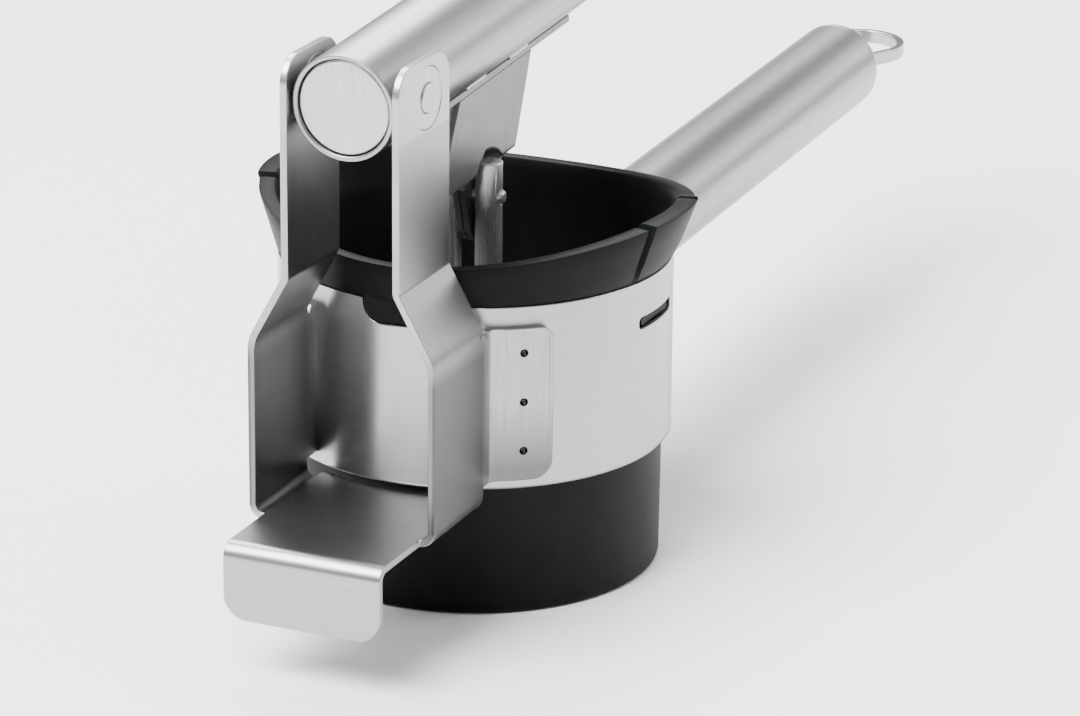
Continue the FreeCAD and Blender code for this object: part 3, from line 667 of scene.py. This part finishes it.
# The cheeks' pressed-in parts: the room around the rod, the plunger's sweep and the tongue,
# and the width of the slope out of them, near the pin and higher up.
TONGUE_HALF = 1.5 * MM
TONGUE_TOP = -31.6 * MM
ROD_TIP_RISE = 4.6 * MM
ROD_TIP = LINK_PIN + ROD_TIP_RISE * Vector((math.sin(LEVER_PITCH), math.cos(LEVER_PITCH)))
ROD_ROOM = 3.1 * MM
SWEEP_RADIUS = 8.0 * MM
JOGGLE_WIDTH = 2.6 * MM
JOGGLE_TOP_WIDTH = 1.5 * MM
NARROWING_START = 3.0 * MM
NARROWING_LENGTH = 4.0 * MM

# The grid cut into a cheek, in mm, and the least gap of its inner face to the middle plane.
CUT_STEP = 0.4
CUT_RANGES = (((1, 0, 0), 28.0, 57.0), ((0, 0, 1), -46.0, -22.0))
CUT_REACH = 0.001 * MM
LEAST_INSIDE = 0.05 * MM

LEVER_RADIUS = 10.6 * MM
CHEEK_OUTLINE = [Vector((across * MM, up * MM)) for across, up in (
    (31.74, -12.0), (25.4, -22.3), (25.4, -31.3), (32.9, -31.3), (39.0, -33.8), (41.1, -43.2),
    (42.6, -45.4), (44.6, -46.0), (49.4, -46.0), (51.6, -45.3), (53.0, -43.3), (57.0, -31.3),
    (66.32, -12.0))]


def joggle_half(spot):
    """How far the cheek's outer face stands from the middle plane at one spot."""
    along = min(1.0, max(0.0, (spot - LINK_PIN).dot(ROD_TIP - LINK_PIN)
                         / (ROD_TIP - LINK_PIN).length_squared))
    from_rod = (spot - LINK_PIN.lerp(ROD_TIP, along)).length - ROD_ROOM
    beside = max(0.0, LINK_PIN.x - spot.x)
    from_sweep = math.hypot(max(0.0, (spot - LINK_PIN).length - SWEEP_RADIUS), beside)
    from_tongue = spot.y - TONGUE_TOP
    upper = min(1.0, max(0.0, (spot.y - LINK_PIN.y - NARROWING_START) / NARROWING_LENGTH))
    width = JOGGLE_WIDTH + (JOGGLE_TOP_WIDTH - JOGGLE_WIDTH) * upper
    away = max(0.0, min(from_rod, from_sweep, from_tongue)) / width
    share = min(1.0, away)
    share = share * share * (3.0 - 2.0 * share)
    return TONGUE_HALF + (LINK_HALF - TONGUE_HALF) * share


def link_cheek(side):
    """One cheek: a sheet cut to the outline and pressed in around its rod."""
    work = bmesh.new()
    corners = [work.verts.new((spot.x, 0.0, spot.y)) for spot in CHEEK_OUTLINE]
    work.faces.new(corners)
    for axis, low, high in CUT_RANGES:
        for number in range(int((high - low) / CUT_STEP)):
            spot = Vector(axis) * (low + CUT_STEP * number) * MM
            bmesh.ops.bisect_plane(work, geom=work.verts[:] + work.edges[:] + work.faces[:],
                                   plane_co=spot, plane_no=axis, dist=CUT_REACH)
    work.verts.index_update()
    flat = [Vector((vertex.co.x, vertex.co.z)) for vertex in work.verts]
    outside = [[vertex.index for vertex in face.verts] for face in work.faces]
    rim = [edge for edge in work.edges if len(edge.link_faces) == 1]
    count = len(flat)
    points = [(spot.x, side * joggle_half(spot), spot.y) for spot in flat]
    points += [(spot.x, side * max(LEAST_INSIDE, joggle_half(spot) - LINK_SHEET), spot.y)
               for spot in flat]
    faces = outside + [[count + corner for corner in reversed(face)] for face in outside]
    for edge in rim:
        first, second = (vertex.index for vertex in edge.verts)
        faces.append([first, second, count + second, count + first])
    work.free()
    return points, faces


def slab(low, high):
    """A plain block from its two corners."""
    points = [(x, y, z) for x in (low[0], high[0]) for y in (low[1], high[1])
              for z in (low[2], high[2])]
    faces = [(0, 1, 3, 2), (4, 6, 7, 5), (0, 4, 5, 1), (2, 3, 7, 6), (0, 2, 6, 4), (1, 5, 7, 3)]
    return points, faces


TUBE_SIDES = 128


def turned(name, profile, place):
    """A closed profile of (along, radius) pairs turned about a handle's axis."""
    points = []
    for number in range(TUBE_SIDES):
        angle = 2.0 * math.pi * number / TUBE_SIDES
        points += [place @ Vector((along, radius * math.cos(angle), radius * math.sin(angle)))
                   for along, radius in profile]
    return new_piece(name, points, loop_faces(TUBE_SIDES, len(profile)))


LEVER_FRONT = -11.4 * MM
LEVER_BACK = 258.6 * MM
TUBE_WALL = 1.0 * MM
FRONT_ROUND = 0.35 * MM


def lever_tube():
    """The lever's tube, with its front edge rolled round."""
    rounds = [(FRONT_ROUND * (1.0 - math.sin(math.radians(angle))),
               FRONT_ROUND * (1.0 - math.cos(math.radians(angle)))) for angle in (90, 60, 30, 0)]
    profile = [(LEVER_FRONT + along, LEVER_RADIUS - TUBE_WALL + across)
               for along, across in reversed(rounds)]
    profile += [(LEVER_FRONT + along, LEVER_RADIUS - across) for along, across in rounds]
    profile += [(LEVER_BACK, LEVER_RADIUS), (LEVER_BACK, LEVER_RADIUS - TUBE_WALL)]
    tube = turned("upper_handle_tube_turned", profile, LEVER_PLACE)
    smooth(tube)
    stand_for(tube, "upper_handle_tube", LEVER_STEEL)


def press_link():
    """The folded link: a web along the lever and two cheeks that meet in a tongue."""
    web = slab((WEB_FRONT, -LINK_HALF, -LEVER_RADIUS - LINK_SHEET),
               (WEB_BACK, LINK_HALF, -LEVER_RADIUS + WEB_SINK))
    points, faces = joined([link_cheek(-1), link_cheek(1), web])
    link = new_piece("press_link_folded", [LEVER_PLACE @ Vector(point) for point in points],
                     faces)
    smooth(link)
    ease(link, LINK_EASE)
    stand_for(link, "press_link", LINK_STEEL)


# ----------------------------------------------------------------- other pieces

THIN_EDGE = 0.1 * MM
BUSH_EDGE = 0.12 * MM
FINE_EDGE = 0.16 * MM
SHEET_EDGE = 0.22 * MM
AXLE_EDGE = 0.25 * MM
EYE_EDGE = 0.3 * MM
# Plain boxes: the yoke's relief notches and weld pits, and the ring's weld and notch.
RELIEF_AND_PITS = (((-42, 57.5), (-35, 63)), ((-35, 34), (-31, 58)))
WELD_AND_NOTCH = (((20, 26), (45, 33)), ((-45, 61), (-36, 72)))

ricer_cup()
finished("yoke_bracket", YOKE_STEEL, SHEET_EDGE, RELIEF_AND_PITS)
finished("holder_ring", RING_STEEL, SHEET_EDGE, WELD_AND_NOTCH)
finished("lower_handle_tube", LOWER_STEEL, FINE_EDGE)
finished("lower_handle_end_cap", LOWER_STEEL, FINE_EDGE)
finished("hanging_eye", EYE_STEEL, EYE_EDGE)
lever_tube()
finished("upper_handle_end_cap", LEVER_STEEL, FINE_EDGE)
finished("upper_handle_front_cap", CAP_STEEL, FINE_EDGE)
finished("pivot_sleeve", ROD_STEEL, FINE_EDGE)
finished("pivot_axle", CAP_STEEL, AXLE_EDGE)
finished("pivot_bush_right", CAP_STEEL, BUSH_EDGE)
finished("pivot_bush_left", CAP_STEEL, BUSH_EDGE)
press_link()
finished("link_weld_beads", WELD_METAL, FINE_EDGE)
finished("link_pin", ROD_STEEL, FINE_EDGE)
finished("plunger_rod_right", ROD_STEEL, FINE_EDGE)
finished("plunger_rod_left", ROD_STEEL, FINE_EDGE)
finished("press_disc", PRESSED_STEEL, FINE_EDGE)
finished("strainer_disc", PRESSED_STEEL, THIN_EDGE)


# ----------------------------------------------------- floor, lights and camera

FLOOR_HALF = 4.0
FLOOR_GAP = 0.2 * MM
LOOKED_AT = Vector((0.0, 0.0, 60 * MM))

# Name, azimuth and elevation in degrees, distance, width and height in metres, watts.
SOFTBOXES = (
    ("key", 150, 58, 1.8, 1.3, 1.3, 115),
    ("right", 300, 30, 1.9, 0.7, 1.2, 14),
    ("back", 30, 50, 2.2, 1.6, 1.2, 72),
    ("side", 332, 14, 1.9, 1.3, 0.5, 6),
)

# The camera that the photo was matched with.
FOCAL_LENGTH = 154.24
VIEWPOINT = (-0.8094, -0.3671, 0.3517)
VIEW_RIGHT = Vector((0.40228, -0.91548, 0.00858))
VIEW_UP = Vector((0.29909, 0.14028, 0.94386))
VIEW_FORWARD = Vector((0.86528, 0.37713, -0.33024))


def floor():
    """A wide pale floor at the height of the cup's foot."""
    corners = [(x * FLOOR_HALF, y * FLOOR_HALF, 0)
               for x, y in ((-1, -1), (1, -1), (1, 1), (-1, 1))]
    plane = new_piece("floor", corners, [(0, 1, 2, 3)])
    plane.location.z = cad_box[0][2] - FLOOR_GAP
    shading = Shading("floor_paint", Roughness=0.6)
    cloud = shading.stretched(shading.place(), (3, 3, 3), detail=2.0)
    colour = shading.blend(cloud, grey(0.90), grey(0.93))
    plane.data.materials.append(shading.finish(colour))


def softbox(name, azimuth, elevation, distance, width, height, power):
    """An area light that looks at the object from one direction."""
    light = bpy.data.lights.new(name, "AREA")
    light.shape = "RECTANGLE"
    light.size = width
    light.size_y = height
    light.energy = power
    lamp = bpy.data.objects.new(name, light)
    scene.collection.objects.link(lamp)
    turn, rise = math.radians(azimuth), math.radians(elevation)
    away = Vector((math.cos(turn) * math.cos(rise), math.sin(turn) * math.cos(rise),
                   math.sin(rise)))
    lamp.location = LOOKED_AT + distance * away
    lamp.rotation_euler = away.to_track_quat("Z", "Y").to_euler()


def world():
    """A soft grey room, lighter above."""
    made = bpy.data.worlds.new("studio")
    made.use_nodes = True
    tree = made.node_tree
    back = tree.nodes["Background"]
    place = tree.nodes.new("ShaderNodeTexCoord")
    split = tree.nodes.new("ShaderNodeSeparateXYZ")
    ramp = tree.nodes.new("ShaderNodeValToRGB")
    tree.links.new(place.outputs["Generated"], split.inputs[0])
    tree.links.new(split.outputs[2], ramp.inputs[0])
    tree.links.new(ramp.outputs[0], back.inputs[0])
    below, above = ramp.color_ramp.elements
    below.position, below.color = 0.0, (0.30, 0.30, 0.30, 1)
    above.position, above.color = 0.75, (0.85, 0.85, 0.85, 1)
    back.inputs["Strength"].default_value = 0.9
    scene.world = made


def camera():
    """The viewing angle from in front of the yoke, a little to its right."""
    lens = bpy.data.cameras.new("camera")
    lens.sensor_width = 36.0
    lens.lens = FOCAL_LENGTH
    lens.clip_start = 0.01
    lens.clip_end = 50.0
    viewer = bpy.data.objects.new("camera", lens)
    scene.collection.objects.link(viewer)
    facing = Matrix((VIEW_RIGHT, VIEW_UP, -VIEW_FORWARD)).transposed().to_4x4()
    viewer.matrix_world = Matrix.Translation(VIEWPOINT) @ facing
    scene.camera = viewer


floor()
world()
for row in SOFTBOXES:
    softbox(*row)
camera()
